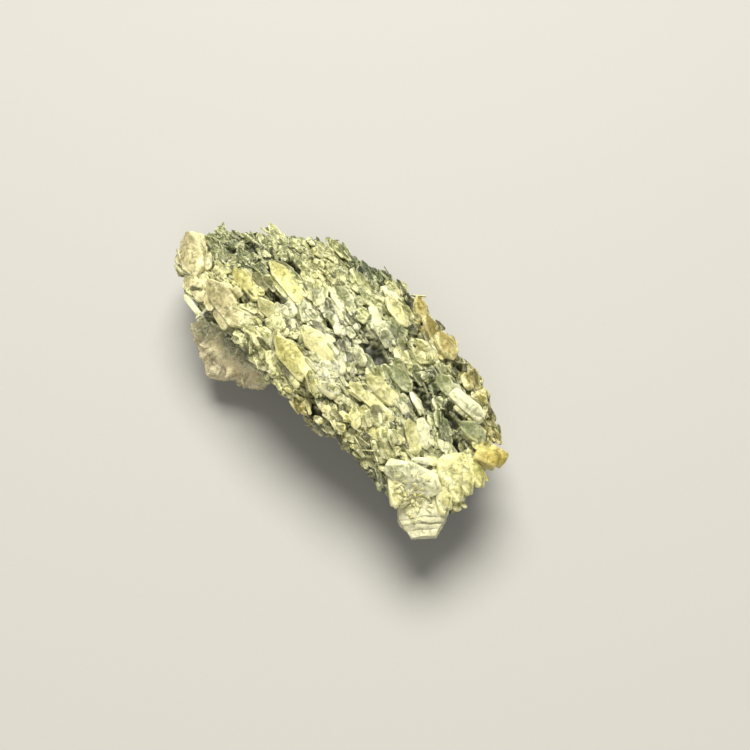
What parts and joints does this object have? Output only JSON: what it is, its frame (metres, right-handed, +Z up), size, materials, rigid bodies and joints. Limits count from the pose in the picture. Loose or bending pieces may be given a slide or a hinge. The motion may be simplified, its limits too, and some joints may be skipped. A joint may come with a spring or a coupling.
{
  "type": "quartz crystal cluster",
  "caption": "Loose mineral specimen: an arched plate shingled with small flat quartz crystals, with a lower quartz ledge and a larger crystal at one end.",
  "frame": {"origin": "middle of the cluster's box, on the surface that it rests on", "axes": "+X along the plate towards the end closed by the larger crystal, +Y across the plate away from the ledge, +Z up"},
  "size_m": [0.0898, 0.0433, 0.0269],
  "materials": {
    "quartz": "pale green and cream quartz crystals, glossy on their faces, with dark green chlorite between them"
  },
  "bodies": {
    "root": {"quartz_cluster": "quartz"}
  },
  "joints": []
}
